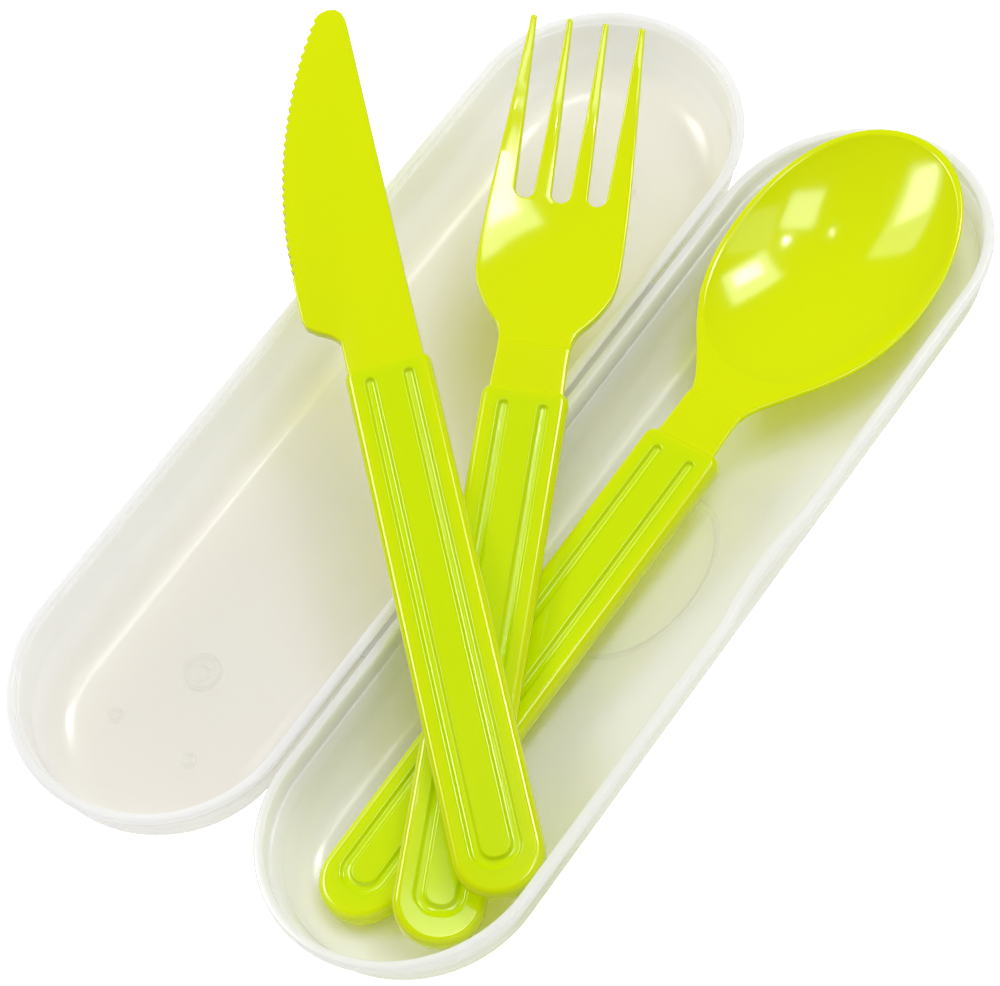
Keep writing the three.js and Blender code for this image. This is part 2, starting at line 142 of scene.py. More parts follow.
add_node(tree, "ShaderNodeOutputMaterial", {"Surface": surface.outputs[0]})
sweep.data.materials.append(paper)

ROOM_LIGHT = 0.46
ROOM_IN_GLOSS = 0.06
world = bpy.data.worlds.new("white_room")
world.use_nodes = True
tree = world.node_tree
tree.nodes.clear()
rays = add_node(tree, "ShaderNodeLightPath")
soft, white, dark = (
    add_node(tree, "ShaderNodeBackground", {"Color": (1, 1, 1, 1), "Strength": strength})
    for strength in (ROOM_LIGHT, 1.0, ROOM_IN_GLOSS)
)
around = add_node(tree, "ShaderNodeMixShader", {"Fac": rays.outputs["Is Glossy Ray"], 1: soft.outputs[0],
                                                2: dark.outputs[0]})
room = add_node(tree, "ShaderNodeMixShader", {"Fac": rays.outputs["Is Camera Ray"], 1: around.outputs[0],
                                              2: white.outputs[0]})
add_node(tree, "ShaderNodeOutputWorld", {"Surface": room.outputs[0]})
bpy.context.scene.world = world

LAMP_DISTANCE = 1.1
# name: azimuth and elevation in degrees, width and height in metres, radiance
LAMPS = {
    "back_soft_box": (73, 54, 0.31, 0.36, 5.5),
    "back_soft_box_core": (69, 54, 0.13, 0.2, 16.0),
    "back_strip": (38, 55, 0.3, 0.4, 1.4),
    "overhead_panel": (24, 76, 0.26, 0.3, 6.0),
    "hinge_side_soft_box": (-175, 50, 0.56, 0.42, 2.6),
    "hinge_side_soft_box_core": (-168, 50, 0.3, 0.28, 7.0),
    "ceiling_spot_back": (59, 70, 0.025, 0.025, 160.0),
    "ceiling_spot_top": (132, 80, 0.022, 0.022, 70.0),
}
for name, (azimuth, elevation, width, height, radiance) in LAMPS.items():
    data = bpy.data.lights.new(name, "AREA")
    data.shape = "RECTANGLE"
    data.size, data.size_y = width, height
    data.energy = radiance * pi * width * height
    lamp = bpy.data.objects.new(name, data)
    a, e = radians(azimuth), radians(elevation)
    out = Vector((cos(e) * cos(a), cos(e) * sin(a), sin(e)))
    lamp.location = out * LAMP_DISTANCE
    lamp.rotation_mode = "QUATERNION"
    lamp.rotation_quaternion = out.to_track_quat("Z", "Y")
    bpy.context.scene.collection.objects.link(lamp)

# Tray: the lower half of the clamshell, injection moulded in natural polypropylene.
# It has a thin rim with a ledge inside it, a drafted wall and a round bottom corner.
CASE_LENGTH = 203.5 * MM
CASE_WIDTH = 57.2 * MM
HINGE_GAP = 1.2 * MM
WALL = 1.2 * MM
FLOOR = 1.4 * MM
RIM_WIDTH = 2.4 * MM
TRAY_DEPTH = 16 * MM
TRAY_BAND = 2 * MM
TRAY_PROUD = 0.6 * MM
TRAY_DRAFT = 1.9 * MM
TRAY_CORNER = 9 * MM
LEDGE_DEPTH = 4 * MM
LEDGE_WIDTH = 0.5 * MM
END_RADIUS = CASE_WIDTH / 2
STRAIGHT_HALF = (CASE_LENGTH - CASE_WIDTH) / 2
HINGE_X = -(CASE_WIDTH + HINGE_GAP) / 2
END_STEPS = 56
LARGE_CORNER = 2 * MM
FULL = 0.999  # a corner rounded by just less than its whole side, so that no points meet
THUMB_LENGTH = 27 * MM
THUMB_DEPTH = 1.2 * MM
THUMB_OFFSET = 3.5 * MM
THUMB_ROWS = 40
MARK_LINE = 0.55


def half_case(profile):
    """A pill-shaped half of the case from (radius, height, rounding) points of its section,
    from the middle of the underside, up the outside, over the rim and down the inside."""
    bm = bmesh.new()
    verts = [bm.verts.new((r, STRAIGHT_HALF, z)) for r, z, _ in profile]
    for first, second in zip(verts, verts[1:]):
        bm.edges.new((first, second))
    for vert, (_, _, rounding) in zip(verts, profile):
        if rounding:
            steps = 10 if rounding > LARGE_CORNER else 3
            bmesh.ops.bevel(bm, geom=[vert], offset=rounding, segments=steps, profile=0.5,
                            affect="VERTICES", material=-1)
    bmesh.ops.spin(bm, geom=bm.verts[:] + bm.edges[:], cent=(0, STRAIGHT_HALF, 0), axis=(0, 0, 1),
                   angle=pi, steps=END_STEPS)
    bmesh.ops.remove_doubles(bm, verts=bm.verts[:], dist=1e-7)
    ends = [e for e in bm.edges if e.is_boundary]
    pulled = bmesh.ops.extrude_edge_only(bm, edges=ends)
    moved = [v for v in pulled["geom"] if isinstance(v, bmesh.types.BMVert)]
    bmesh.ops.translate(bm, verts=moved, vec=(0, -STRAIGHT_HALF, 0))
    bmesh.ops.mirror(bm, geom=bm.verts[:] + bm.edges[:] + bm.faces[:], axis="Y", merge_dist=1e-6)
    bmesh.ops.remove_doubles(bm, verts=bm.verts[:], dist=1e-6)
    bmesh.ops.recalc_face_normals(bm, faces=bm.faces[:])
    return bm


def press_thumb_recess(bm):
    """Presses the free long side inwards along a shallow arc, most at the rim."""
    for row in range(THUMB_ROWS + 1):
        y = THUMB_OFFSET + THUMB_LENGTH * (row / THUMB_ROWS - 0.5)
        bmesh.ops.bisect_plane(bm, geom=bm.verts[:] + bm.edges[:] + bm.faces[:], dist=1e-7,
                               plane_co=(0, y, 0), plane_no=(0, 1, 0))
    fade_from = 0.25 * TRAY_DEPTH
    for vert in bm.verts:
        across = (vert.co.y - THUMB_OFFSET) / (THUMB_LENGTH / 2)
        if abs(across) < 1 and vert.co.x > END_RADIUS - 2 * TRAY_CORNER and vert.co.z > fade_from:
            rise = min(1, (vert.co.z - fade_from) / (0.5 * TRAY_DEPTH))
            vert.co.x -= THUMB_DEPTH * (1 - across ** 2) * rise * rise * (3 - 2 * rise)


def ring_mark(tree, coords, centre, radii, add_to=None):
    """Height of a fine moulded ring, an oval of these radii in mm about a centre in mm."""
    moved = add_node(tree, "ShaderNodeVectorMath", {0: coords, 1: Vector(centre) * MM}, operation="SUBTRACT")
    scaled = add_node(tree, "ShaderNodeVectorMath", {0: moved.outputs[0], 1: [1 / (r * MM) for r in radii]},
                      operation="MULTIPLY")
    away = add_node(tree, "ShaderNodeVectorMath", {0: scaled.outputs[0]}, operation="LENGTH")
    off = add_node(tree, "ShaderNodeMath", {0: away.outputs["Value"], 1: 1.0}, operation="SUBTRACT")
    near = add_node(tree, "ShaderNodeMath", {0: off.outputs[0]}, operation="ABSOLUTE")
    height = add_node(tree, "ShaderNodeMapRange", {
        "Value": near.outputs[0],
        "From Min": 0.0,
        "From Max": MARK_LINE / radii[0],
        "To Min": 1.0,
        "To Max": 0.0,
    }, interpolation_type="SMOOTHSTEP")
    if add_to is None:
        return height.outputs[0]
    return add_node(tree, "ShaderNodeMath", {0: height.outputs[0], 1: add_to}, operation="MAXIMUM").outputs[0]


def lets_light_through(tree, shader, tint):
    """The shader's surface, which dims and tints a lamp's light rather than stopping it, so
    that the plastic's shadow is pale and has its colour."""
    rays = add_node(tree, "ShaderNodeLightPath")
    through = add_node(tree, "ShaderNodeBsdfTransparent", {"Color": tint})
    both = add_node(tree, "ShaderNodeMixShader", {"Fac": rays.outputs["Is Shadow Ray"], 1: shader.outputs[0],
                                                  2: through.outputs[0]})
    add_node(tree, "ShaderNodeOutputMaterial", {"Surface": both.outputs[0]})


MILKY_TINT = "#e1e1dd"
MILKY_SCATTER = (9 * MM, 9 * MM, 8 * MM)


def milky_plastic(name, wall_tint, floor_shade_tint, floor_point, floor_up, marks):
    """Natural polypropylene straight from a polished mould: milky, so that light comes
    through the thin walls. The floor, which carries the marks of the mould's pins, is
    painted darker and warmer than the walls as painted shade. The gloss has a faint
    waviness of about 18 mm that only highlights show."""
    material, tree = new_material(name)
    place = add_node(tree, "ShaderNodeTexCoord").outputs["Object"]
    flow = add_node(tree, "ShaderNodeTexNoise", {"Vector": place, "Scale": 55.0, "Detail": 2.0,
                                                 "Roughness": 0.4})
    above_floor = add_node(tree, "ShaderNodeVectorMath", {0: place, 1: floor_point}, operation="SUBTRACT")
    height = add_node(tree, "ShaderNodeVectorMath", {0: above_floor.outputs[0], 1: floor_up},
                      operation="DOT_PRODUCT")
    drift = add_node(tree, "ShaderNodeMath", {0: flow.outputs["Fac"], 1: 3 * MM, 2: height.outputs["Value"]},
                     operation="MULTIPLY_ADD")
    # Painted shade: the colour runs from the darker, warmer floor tint at the floor up to the wall tint.
    wall = add_node(tree, "ShaderNodeMapRange", {"Value": drift.outputs[0], "From Min": 2.5 * MM,
                                                 "From Max": 11 * MM}, interpolation_type="SMOOTHSTEP")
    tint = add_node(tree, "ShaderNodeMix", {"Factor": wall.outputs[0], "A": linear(floor_shade_tint),
                                            "B": linear(wall_tint)}, data_type="RGBA")
    rings = None
    for centre, radii in marks:
        rings = ring_mark(tree, place, centre, radii, rings)
    pins = add_node(tree, "ShaderNodeBump", {"Height": rings, "Strength": 0.7, "Distance": 0.5 * MM})
    waves = add_node(tree, "ShaderNodeBump", {"Height": flow.outputs["Fac"], "Strength": 0.05,
                                              "Distance": 1.5 * MM, "Normal": pins.outputs["Normal"]})
    shader = add_node(tree, "ShaderNodeBsdfPrincipled", {
        "Base Color": tint.outputs["Result"],
        "Roughness": 0.2,
        "IOR": 1.49,
        "Subsurface Weight": 1.0,
        "Subsurface Radius": MILKY_SCATTER,
        "Subsurface Scale": 1.0,
        "Normal": waves.outputs["Normal"],
    })
    lets_light_through(tree, shader, linear(MILKY_TINT))
    return material


tray_foot = END_RADIUS - TRAY_PROUD - TRAY_DRAFT
tray_mesh = half_case([
    (0, 0, 0),
    (tray_foot, 0, TRAY_CORNER * FULL),
    (tray_foot, TRAY_CORNER, 0),
    (END_RADIUS - TRAY_PROUD, TRAY_DEPTH - TRAY_BAND, 0.25 * MM),
    (END_RADIUS, TRAY_DEPTH - TRAY_BAND, 0.3 * MM),
    (END_RADIUS, TRAY_DEPTH, 0.4 * MM),
    (END_RADIUS - RIM_WIDTH + LEDGE_WIDTH, TRAY_DEPTH, 0.35 * MM),
    (END_RADIUS - RIM_WIDTH + LEDGE_WIDTH, TRAY_DEPTH - LEDGE_DEPTH, 0.15 * MM),
    (END_RADIUS - RIM_WIDTH, TRAY_DEPTH - LEDGE_DEPTH, 0.3 * MM),
    (tray_foot - WALL, FLOOR + TRAY_CORNER - WALL, 0),
    (tray_foot - WALL, FLOOR, (TRAY_CORNER - WALL) * FULL),
    (0, FLOOR, 0),
])
press_thumb_recess(tray_mesh)
TRAY_MARKS = [((0, -3.0, 1.4), (12.0, 19.2, 30.0))]  # a bare oval: its centre and radii in mm
# The floor tint is painted shade, a little darker and yellower than the wall tint.
tray_plastic = milky_plastic("natural_polypropylene_tray", "#f1f1e8", "#f0efda", (0, 0, FLOOR), (0, 0, 1),
                             TRAY_MARKS)
tray = object_from(tray_mesh, "case_tray")
tray.data.materials.append(tray_plastic)
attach(tray, "tray")
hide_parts("case_base")

# Lid: the deeper half of the same moulding, with a thin rim and a large bottom corner.
# It lies open, leaning on its own bottom corner beside the hinge.
LID_DEPTH = 18.2 * MM
LID_BAND = 1.2 * MM
LID_PROUD = 0.4 * MM
LID_DRAFT = 1.6 * MM
LID_CORNER = 10 * MM
LID_LEDGE_DEPTH = 1.1 * MM
LID_LEDGE_WIDTH = 0.8 * MM
LID_MARGIN = 0.4 * MM
LID_RADIUS = END_RADIUS + LID_MARGIN

lean_along = HINGE_GAP / 2 + LID_PROUD + LID_DRAFT + LID_CORNER
lean_down = LID_DEPTH - LID_CORNER
LID_LEAN = asin((LID_CORNER - TRAY_DEPTH) / hypot(lean_along, lean_down)) + atan2(lean_down, lean_along)
LID_PLACE = (
    Matrix.Translation((HINGE_X, 0, TRAY_DEPTH))
    @ Matrix.Rotation(LID_LEAN, 4, "Y")
    @ Matrix.Translation((HINGE_X - LID_MARGIN, 0, 0))
)
lid_foot = LID_RADIUS - LID_PROUD - LID_DRAFT
lid_mesh = half_case([
    (0, -LID_DEPTH, 0),
    (lid_foot, -LID_DEPTH, LID_CORNER * FULL),
    (lid_foot, LID_CORNER - LID_DEPTH, 0),
    (LID_RADIUS - LID_PROUD, -LID_BAND, 0.15 * MM),
    (LID_RADIUS, -LID_BAND, 0.25 * MM),
    (LID_RADIUS, 0, 0.35 * MM),
    (LID_RADIUS - RIM_WIDTH + LID_LEDGE_WIDTH, 0, 0.3 * MM),
    (LID_RADIUS - RIM_WIDTH + LID_LEDGE_WIDTH, -LID_LEDGE_DEPTH, 0.15 * MM),
    (LID_RADIUS - RIM_WIDTH, -LID_LEDGE_DEPTH, 0.25 * MM),
    (lid_foot - WALL, FLOOR + LID_CORNER - WALL - LID_DEPTH, 0),
    (lid_foot - WALL, FLOOR - LID_DEPTH, (LID_CORNER - WALL) * FULL),
    (0, FLOOR - LID_DEPTH, 0),
])
bmesh.ops.transform(lid_mesh, matrix=LID_PLACE, verts=lid_mesh.verts[:])
LID_MARKS = [  # three pins and a double ring
    ((-71.2, -78.8, 6.0), (1.3, 1.3, 1.3)),
    ((-53.7, -78.6, 3.1), (1.3, 1.3, 1.3)),
    ((-54.7, 72.8, 3.3), (1.3, 1.3, 1.3)),
    ((-62.7, -62.5, 4.6), (3.6, 3.6, 3.6)),
    ((-62.7, -62.5, 4.6), (1.6, 1.6, 1.6)),
]
lid_up = (LID_PLACE.to_3x3() @ Vector((0, 0, 1))).normalized()
lid_floor = LID_PLACE @ Vector((0, 0, FLOOR - LID_DEPTH))
# The floor tint is painted shade, darker and warmer than the wall tint.
lid_plastic = milky_plastic("natural_polypropylene_lid", "#f4f3f0", "#e8e1d5", lid_floor, lid_up, LID_MARKS)
lid = object_from(lid_mesh, "case_lid_shell")
lid.data.materials.append(lid_plastic)
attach(lid, "lid")
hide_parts("case_lid")

# Hinge: a thin web moulded with both halves, between two slots that its ends leave open.
# It laps a little into both rims.
WEB_LENGTH = 96.7 * MM
WEB_THICKNESS = 0.4 * MM
WEB_LAP = 0.25 * MM
WEB_TOP = TRAY_DEPTH - 0.5 * MM
web_mesh = bmesh.new()
bmesh.ops.create_grid(web_mesh, x_segments=13, y_segments=24, size=0.5)
bmesh.ops.scale(web_mesh, vec=(HINGE_GAP + 2 * WEB_LAP, WEB_LENGTH, 1), verts=web_mesh.verts[:])
bmesh.ops.translate(web_mesh, vec=(HINGE_X, 0, WEB_TOP), verts=web_mesh.verts[:])
bmesh.ops.solidify(web_mesh, geom=web_mesh.faces[:], thickness=WEB_THICKNESS)
web = object_from(web_mesh, "hinge_web")
web.data.materials.append(lid_plastic)
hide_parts("living_hinge")
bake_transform(web)

# Handles: the knife, fork and spoon share one moulded bar of lime polypropylene, with a full
# round end, a groove that runs down one side, round the end and back up the other, and a
# step at the shoulder, where each piece's own head runs on.
HANDLE_WIDTH = 16.9 * MM
HANDLE_LENGTH = 103.5 * MM
HANDLE_THICKNESS = 3.9 * MM
SHOULDER_RADIUS = 2.4 * MM
EDGE_ROUNDING = 1.5 * MM
UNDER_ROUNDING = 1.1 * MM
GROOVE_SPACING = 7.6 * MM
GROOVE_MOUTH = 2.7 * MM
GROOVE_TOP = 100.4 * MM
GROOVE_END = -0.85 * MM
GROOVE_STEPS = [  # how far each ring of the groove lies inside the last, and below it, in mm
    (0.05, 0), (0.13, 0.02), (0.12, 0.07), (0.12, 0.13), (0.12, 0.15), (0.13, 0.13), (0.15, 0.09),
    (0.18, 0.05),
]
HOLDING_RING = 0.05 * MM
NEARLY_FULL = 0.9999  # a rounding just short of a full half circle, so that the two don't meet
THICK_FROM = 3 * MM
# The thin lime is a painted glow of light through thin plastic; the thick lime is the handle's middle.
PAINTED_GLOW_LIME = "#d6e300"
THICK_LIME = "#c9e200"
LIME_TINT = "#d7da59"


def lime_plastic():
    """Lime polypropylene from a polished mould: glossy, with a faint waviness of about
    14 mm. A lamp's light comes through it. Its edges and thin heads are painted lighter
    and yellower than the thick middle of a handle, a painted glow of light through the plastic."""
    material, tree = new_material("glossy_lime_plastic")
    place = add_node(tree, "ShaderNodeTexCoord").outputs["Object"]
    flow = add_node(tree, "ShaderNodeTexNoise", {"Vector": place, "Scale": 70.0, "Detail": 2.0,
                                                 "Roughness": 0.45})
    thick = add_node(tree, "ShaderNodeAttribute", attribute_name="thickness").outputs["Fac"]
    depth = add_node(tree, "ShaderNodeMath", {0: flow.outputs["Fac"], 1: 0.12, 2: thick},
                     operation="MULTIPLY_ADD")
    # Painted glow: thin edges and heads get the lighter, yellower lime, the thick middle the greener one.
    painted_glow_colour = add_node(tree, "ShaderNodeMix", {"Factor": depth.outputs[0], "A": linear(PAINTED_GLOW_LIME),
                                                "B": linear(THICK_LIME)}, data_type="RGBA")
    waves = add_node(tree, "ShaderNodeBump", {"Height": flow.outputs["Fac"], "Strength": 0.03,
                                              "Distance": 1.2 * MM})
    shader = add_node(tree, "ShaderNodeBsdfPrincipled", {
        "Base Color": painted_glow_colour.outputs["Result"],
        "Roughness": 0.11,
        "IOR": 1.49,
        "Normal": waves.outputs["Normal"],
    })
    lets_light_through(tree, shader, linear(LIME_TINT))
    return material


def rounded_face(bm, corners, z=0.0):
    """A flat face through (s, n, rounding) corners, each corner rounded by its own radius."""
    before = set(bm.verts)
    verts = [bm.verts.new((s, n, z)) for s, n, _ in corners]
    for first, second in zip(verts, verts[1:] + verts[:1]):
        bm.edges.new((first, second))
    for vert, (_, _, rounding) in zip(verts, corners):
        if rounding:
            steps = 18 if rounding > HANDLE_WIDTH / 4 else 8
            bmesh.ops.bevel(bm, geom=[vert], offset=rounding, segments=steps, profile=0.5,
                            affect="VERTICES", material=-1)
    made = [v for v in bm.verts if v not in before]
    bmesh.ops.remove_doubles(bm, verts=made, dist=0.003 * MM)
    made = [v for v in bm.verts if v not in before]
    edges = list({e for v in made for e in v.link_edges})
    face = bmesh.ops.contextual_create(bm, geom=edges)["faces"][0]
    face.normal_update()
    if face.normal.z < 0:
        face.normal_flip()
    return face


def thicken(bm, face, thickness):
    """Pulls a face down into a closed slab and returns the slab's upper and lower outline."""
    pulled = bmesh.ops.extrude_face_region(bm, geom=[face], use_keep_orig=True)["geom"]
    lower = [v for v in pulled if isinstance(v, bmesh.types.BMVert)]
    bmesh.ops.translate(bm, verts=lower, vec=(0, 0, -thickness))
    lower_set = set(lower)
    bottom = [e for e in {e for v in lower for e in v.link_edges} if all(v in lower_set for v in e.verts)]
    return list(face.edges), bottom


def round_edges(bm, edges, radius, segments):
    """Rounds these edges of a moulding by this radius."""
    bmesh.ops.bevel(bm, geom=edges, offset=radius, segments=segments, profile=0.5,
                    affect="EDGES", material=-1)


def moulded_handle():
    """The bar with its groove, and a "thickness" value that grows from 0 at its edges to 1
    in its middle, which masks the lime's painted glow. What is added to it later is thin, and has 0."""
    bm = bmesh.new()
    half = HANDLE_WIDTH / 2
    blank = rounded_face(bm, [
        (-half, half, half * NEARLY_FULL),
        (-half, -half, half * NEARLY_FULL),
        (HANDLE_LENGTH, -half, SHOULDER_RADIUS),
        (HANDLE_LENGTH, half, SHOULDER_RADIUS),
    ])
    upper, _ = thicken(bm, blank, HANDLE_THICKNESS)
    bmesh.ops.recalc_face_normals(bm, faces=bm.faces[:])
    round_edges(bm, upper, EDGE_ROUNDING, 7)
    lower = [e for e in bm.edges if all(v.co.z < 1e-6 - HANDLE_THICKNESS for v in e.verts)]
    round_edges(bm, lower, UNDER_ROUNDING, 4)
    top = max((f for f in bm.faces if all(abs(v.co.z) < 1e-7 for v in f.verts)), key=lambda f: f.calc_area())
    bmesh.ops.inset_region(bm, faces=[top], thickness=HOLDING_RING)
    outer_rim = list(top.edges)
    bmesh.ops.delete(bm, geom=[top], context="FACES_ONLY")
    outer = GROOVE_SPACING / 2 + GROOVE_MOUTH / 2
    inner = GROOVE_SPACING / 2 - GROOVE_MOUTH / 2
    cap = GROOVE_MOUTH / 2 * NEARLY_FULL
    groove = rounded_face(bm, [
        (GROOVE_TOP, outer, cap),
        (GROOVE_END + inner - outer, outer, outer * 0.9),
        (GROOVE_END + inner - outer, -outer, outer * 0.9),
        (GROOVE_TOP, -outer, cap),
        (GROOVE_TOP, -inner, cap),
        (GROOVE_END, -inner, inner * 0.9),
        (GROOVE_END, inner, inner * 0.9),
        (GROOVE_TOP, inner, cap),
    ])
    groove_rim = list(groove.edges)
    for wide, deep in GROOVE_STEPS:
        bmesh.ops.inset_region(bm, faces=[groove], thickness=wide * MM, depth=-deep * MM,
                               use_boundary=True)
    bmesh.ops.triangle_fill(bm, use_beauty=True, edges=outer_rim + groove_rim, normal=(0, 0, 1))
    # The mask of the lime's painted glow: 0 at the edges, 1 in the middle.
    thickness = bm.verts.layers.float.new("thickness")
    for vert in bm.verts:
        from_edge = min(half - hypot(min(vert.co.x, 0), vert.co.y), HANDLE_LENGTH - vert.co.x)
        vert[thickness] = min(1, max(0, from_edge / THICK_FROM))
    return bm


def curve_through(points):
    """A smooth value between (s, value) points in millimetres, for s and value in metres."""
    knots = [(s * MM, v * MM) for s, v in points]

    def slope(i):
        low, high = knots[max(i - 1, 0)], knots[min(i + 1, len(knots) - 1)]
        return (high[1] - low[1]) / (high[0] - low[0])

    def value(s):
        if s <= knots[0][0]:
            return knots[0][1]
        for i in range(len(knots) - 1):
            (s0, v0), (s1, v1) = knots[i], knots[i + 1]
            if s <= s1:
                t, span = (s - s0) / (s1 - s0), s1 - s0
                return (v0 * (1 + 2 * t) * (1 - t) ** 2 + slope(i) * span * t * (1 - t) ** 2
                        + v1 * t * t * (3 - 2 * t) - slope(i + 1) * span * t * t * (1 - t))
        return knots[-1][1]

    return value


def lay_in_tray(bm, from_side, from_end, height, heading, pitch, roll):
    """Moves a piece from its own lengthwise frame to where it lies, all from the tray."""
    place = (
        Matrix.Translation((CASE_WIDTH / 2 - from_side * MM, from_end * MM - CASE_LENGTH / 2, height * MM))
        @ Matrix.Rotation(radians(heading), 4, "Z")
        @ Matrix.Rotation(radians(-pitch), 4, "Y")
        @ Matrix.Rotation(radians(roll), 4, "X")
    )
    bmesh.ops.transform(bm, matrix=place, verts=bm.verts[:])


def finish_piece(bm, name, node):
    """Makes one piece of cutlery of its mesh, in place of its plain solid."""
    bmesh.ops.recalc_face_normals(bm, faces=bm.faces[:])
    piece = object_from(bm, name, smooth_angle=50)
    piece.data.materials.append(lime)
    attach(piece, "tray")
    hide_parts(node)


lime = lime_plastic()

# Knife: the handle and a flat blade in one moulding. The blade's top runs on from the
# handle's, the heel steps out to the edge, and fine teeth run from there to the tip.
KNIFE_PLACE = dict(from_side=10.6, from_end=32.7, height=16.21, heading=136.5, pitch=9.0, roll=3)
KNIFE_TIP = 186 * MM
BLADE_ROOT = 101.9
BLADE_BACK = -7.4
BLADE_TOP = 0.01 * MM
BLADE_THICKNESS = 2.2 * MM
BLADE_FALL = 0.17 * MM
BLADE_ROUNDING = 0.4 * MM
TEETH = 30
TOOTH_HEIGHT = 0.8 * MM
TEETH_FROM, TEETH_TO = 126.0 * MM, 184.2 * MM
GULLET_PLACE = 0.65
knife_mesh = moulded_handle()
edge_curve = curve_through([
    (126.0, 14.2), (136.0, 13.9), (146.0, 12.7), (156.0, 10.6), (166.0, 7.5), (176.0, 3.4), (184.4, -1.0),
])
HEEL = [(BLADE_ROOT, 7.65), (109.5, 7.65), (111.4, 9.2), (113.2, 12.0), (114.6, 13.6), (116.4, 14.2)]
NOSE = [(184.4, -1.0), (185.6, -2.4), (186.0, -4.2), (185.6, -5.8), (184.4, -6.9), (182.6, -7.35),
        (180.5, BLADE_BACK), (BLADE_ROOT, BLADE_BACK)]
outline = [(s * MM, n * MM) for s, n in HEEL]
for tooth in range(TEETH):
    s = TEETH_FROM + (TEETH_TO - TEETH_FROM) * tooth / TEETH
    outline.append((s, edge_curve(s)))
    gullet = TEETH_FROM + (TEETH_TO - TEETH_FROM) * (tooth + GULLET_PLACE) / TEETH
    outline.append((gullet, edge_curve(gullet) - TOOTH_HEIGHT))
outline += [(s * MM, n * MM) for s, n in NOSE]
blade = rounded_face(knife_mesh, [(s, n, 0) for s, n in reversed(outline)], BLADE_TOP)
upper, lower = thicken(knife_mesh, blade, BLADE_THICKNESS)
for vert in {v for e in upper + lower for v in e.verts}:
    vert.co.z -= BLADE_FALL * vert.co.x / KNIFE_TIP


def toothed(edge):
    """Whether an edge of the blade's outline lies along the teeth, which stay sharp."""
    return all(TEETH_FROM - 0.1 * MM < v.co.x < TEETH_TO + 0.3 * MM and v.co.y > -1.5 * MM
               for v in edge.verts)


smooth_run = [e for e in upper + lower if max(v.co.x for v in e.verts) > 102 * MM and not toothed(e)]
bmesh.ops.recalc_face_normals(knife_mesh, faces=knife_mesh.faces[:])
round_edges(knife_mesh, smooth_run, BLADE_ROUNDING, 3)
lay_in_tray(knife_mesh, **KNIFE_PLACE)
finish_piece(knife_mesh, "lime_knife", "knife")

# Fork: a neck one step down, a band that rounds over into a dished head, and four long
# tines whose edges the mould rounds. The head sinks, and the tines curve up to their tips.
FORK_PLACE = dict(from_side=16.9, from_end=21.3, height=11.03, heading=115.3, pitch=7.2, roll=15)
NECK_THICKNESS = 2.2 * MM
TINE_ROUNDING = 0.42 * MM
SLOT_HALF_WIDTH = 1.85
BENCH = 10 * MM  # the head is cut out flat this far above the handle, and bent down to it
fork_mesh = moulded_handle()
FORK_SIDE = curve_through([
    (101, 7.3), (113.5, 7.1), (117, 7.9), (119.8, 10.0), (122.5, 11.7), (126, 13.3), (129.5, 14.0),
    (134, 14.2), (147, 13.9), (166, 12.8), (185, 11.55),
])
TINE_PITCH = 7.25
SLOT_ROOT = 147.0
TIP = 185.0
TIP_HALF_WIDTH = 0.55
side = [101 + i for i in range(85)]
outline = [(s * MM, FORK_SIDE(s * MM)) for s in side]
for lane in (1, 0, -1):
    slot = lane * TINE_PITCH
    outline += [((TIP + 0.5) * MM, (slot + TINE_PITCH / 2 + 0.2) * MM),
                ((TIP + 0.2) * MM, (slot + TINE_PITCH / 2 - TIP_HALF_WIDTH) * MM)]
    for step in range(9):
        turn = pi * step / 8
        outline.append(((SLOT_ROOT + SLOT_HALF_WIDTH * (1 - sin(turn))) * MM,
                        (slot + SLOT_HALF_WIDTH * cos(turn)) * MM))
    outline += [((TIP + 0.2) * MM, (slot - TINE_PITCH / 2 + TIP_HALF_WIDTH) * MM)]
outline += [((TIP + 0.5) * MM, (-1.5 * TINE_PITCH + 0.1) * MM)]
outline += [(s * MM, -FORK_SIDE(s * MM)) for s in reversed(side)]
head = rounded_face(fork_mesh, [(s, n, 0) for s, n in outline], BENCH)
upper, lower = thicken(fork_mesh, head, NECK_THICKNESS)
bmesh.ops.recalc_face_normals(fork_mesh, faces=fork_mesh.faces[:])
round_edges(fork_mesh, upper + lower, TINE_ROUNDING, 3)


def slice_sheet(bm, axis, start, stop, spacing):
    """Cuts the flat head, which still lies above the handle, so that it can be bent."""
    count = round((stop - start) / spacing)
    for i in range(count + 1):
        at = [0.0, 0.0, 0.0]
        at[axis] = (start + (stop - start) * i / count) * MM
        normal = [0.0, 0.0, 0.0]
        normal[axis] = 1.0
        geom = [f for f in bm.faces if all(v.co.z > BENCH / 2 for v in f.verts)]
        edges = list({e for f in geom for e in f.edges})
        verts = list({v for f in geom for v in f.verts})
        bmesh.ops.bisect_plane(bm, geom=verts + edges + geom, dist=1e-8, plane_co=at, plane_no=normal)


slice_sheet(fork_mesh, 0, 102, 184.4, 1.6)
slice_sheet(fork_mesh, 0, 112.5, 114.1, 0.2)
slice_sheet(fork_mesh, 1, -13, 13, 1.4)
FORK_LINE = curve_through([
    (99.5, -0.8), (112.9, -0.8), (113.8, -1.5), (122.5, -2.6), (137.5, -4.6), (147, -4.6), (166, -2.6),
    (185, 2.2),
])
FORK_DISH = curve_through([(99.5, 0), (113.5, 0), (128, 0.8), (137.5, 1.6), (147, 1.6), (166, 0.8), (185, 0)])
for vert in fork_mesh.verts:
    if vert.co.z > BENCH / 2:
        s, n = vert.co.x, vert.co.y
        across = n / FORK_SIDE(s)
        thinner = 1 - 0.4 * max(0.0, (s / MM - SLOT_ROOT) / (TIP - SLOT_ROOT))
        depth = (vert.co.z - BENCH) * thinner
        vert.co.z = depth + FORK_LINE(s) + FORK_DISH(s) * across * across
lay_in_tray(fork_mesh, **FORK_PLACE)
finish_piece(fork_mesh, "lime_fork", "fork")

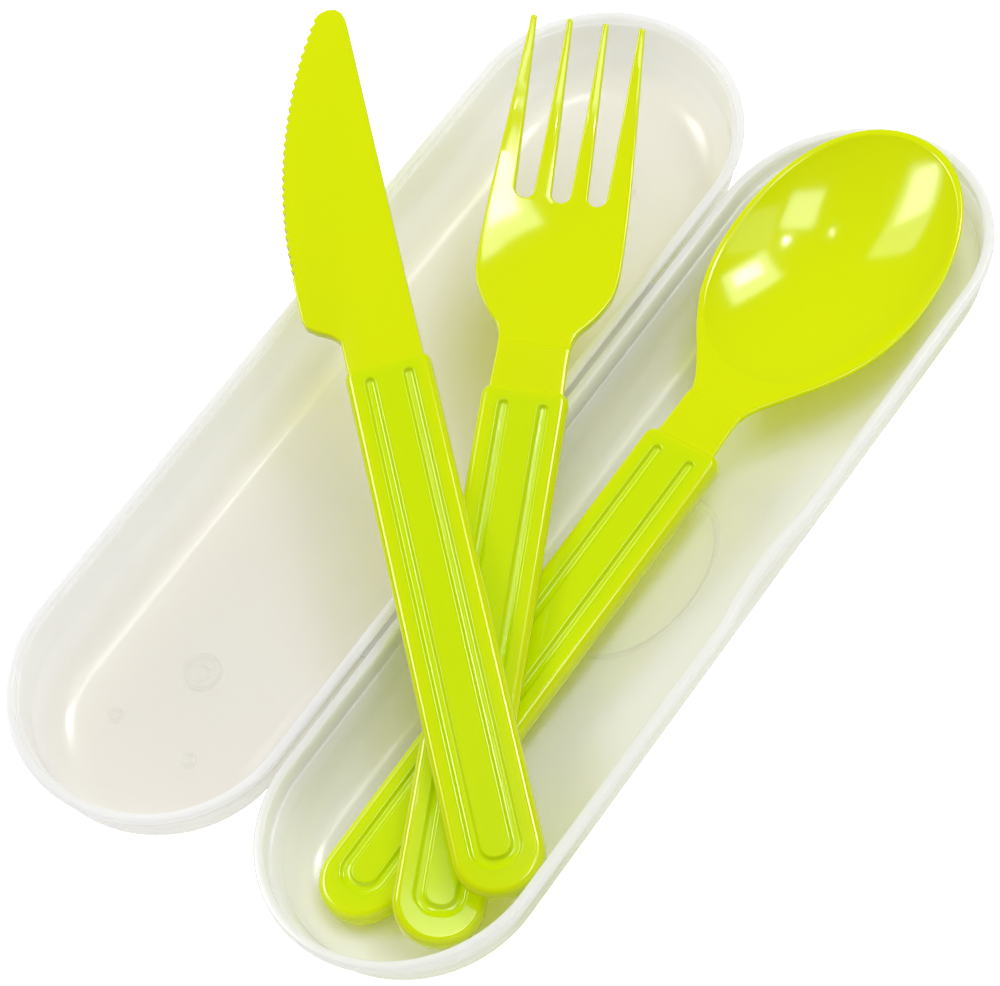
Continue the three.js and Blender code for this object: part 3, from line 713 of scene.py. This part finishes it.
# Spoon: the same neck, and an oval bowl with a thin level lip round it. The lip's inner
# edge is crisp, and below it the bowl is one smooth hollow.
SPOON_PLACE = dict(from_side=34.8, from_end=19.1, height=6.94, heading=88, pitch=4.3, roll=2)
SHEET_THICKNESS = 1.5 * MM
SHEET_ROOT = 101
BOWL_LENGTH = 63.0
BOWL_WIDTH = 45.0
BOWL_DEPTH = 6.4
BOWL_TIP = 183.2
BOWL_MIDDLE = BOWL_TIP - BOWL_LENGTH / 2
OVAL_POWER = 2.1
LIP = 0.955
LIP_ROUNDING = 0.6
LIP_DROP = 0.3
FLARE_END = 131.0
spoon_mesh = moulded_handle()
sheet_mesh = bmesh.new()
FLARE = curve_through([(99.5, 6.7), (113.5, 6.5), (117, 7.9), (122, 11.3), (127, 15.0), (131, 17.46)])
RIM = curve_through([(99.5, -0.8), (112.9, -0.8), (113.8, -1.5), (124, -3), (151.7, -4), (183.2, -2.6)])


def bowl_radius(s, n):
    """0 in the middle of the bowl and 1 on its outline, for s and n in millimetres."""
    along, across = abs(2 * (s - BOWL_MIDDLE) / BOWL_LENGTH), abs(2 * n / BOWL_WIDTH)
    return (along ** OVAL_POWER + across ** OVAL_POWER) ** (1 / OVAL_POWER)


bmesh.ops.create_grid(sheet_mesh, x_segments=200, y_segments=56, size=1)
for vert in sheet_mesh.verts:
    u, t = (vert.co.x + 1) / 2, vert.co.y
    s = SHEET_ROOT + (BOWL_TIP - SHEET_ROOT) * sin(u * pi / 2)
    t = t * (1.3 - 0.3 * t * t)
    along = min(1.0, abs(2 * (s - BOWL_MIDDLE) / BOWL_LENGTH))
    oval = BOWL_WIDTH / 2 * max(0.0, 1 - along ** OVAL_POWER) ** (1 / OVAL_POWER)
    half = max(oval, FLARE(s * MM) / MM) if s < FLARE_END else oval
    n = t * half
    rho = bowl_radius(s, n)
    hollow = max(0.0, 1 - (rho / LIP) ** 2) if rho < LIP else 0.0
    inside = (1 - rho) * BOWL_WIDTH / 2 if s > FLARE_END else (1 - abs(t)) * half
    rounded = LIP_DROP * max(0.0, 1 - inside / LIP_ROUNDING) ** 2
    vert.co = Vector((s, n, RIM(s * MM) / MM - rounded - BOWL_DEPTH * hollow ** 0.92)) * MM
bmesh.ops.remove_doubles(sheet_mesh, verts=sheet_mesh.verts[:], dist=2e-6)
bmesh.ops.recalc_face_normals(sheet_mesh, faces=sheet_mesh.faces[:])
if sum(f.normal.z for f in sheet_mesh.faces) < 0:
    bmesh.ops.reverse_faces(sheet_mesh, faces=sheet_mesh.faces[:])
bmesh.ops.solidify(sheet_mesh, geom=sheet_mesh.faces[:], thickness=SHEET_THICKNESS)
bmesh.ops.recalc_face_normals(sheet_mesh, faces=sheet_mesh.faces[:])
sheet_data = bpy.data.meshes.new("spoon_sheet")
sheet_mesh.to_mesh(sheet_data)
sheet_mesh.free()
spoon_mesh.from_mesh(sheet_data)
bpy.data.meshes.remove(sheet_data)
lay_in_tray(spoon_mesh, **SPOON_PLACE)
finish_piece(spoon_mesh, "lime_spoon", "spoon")
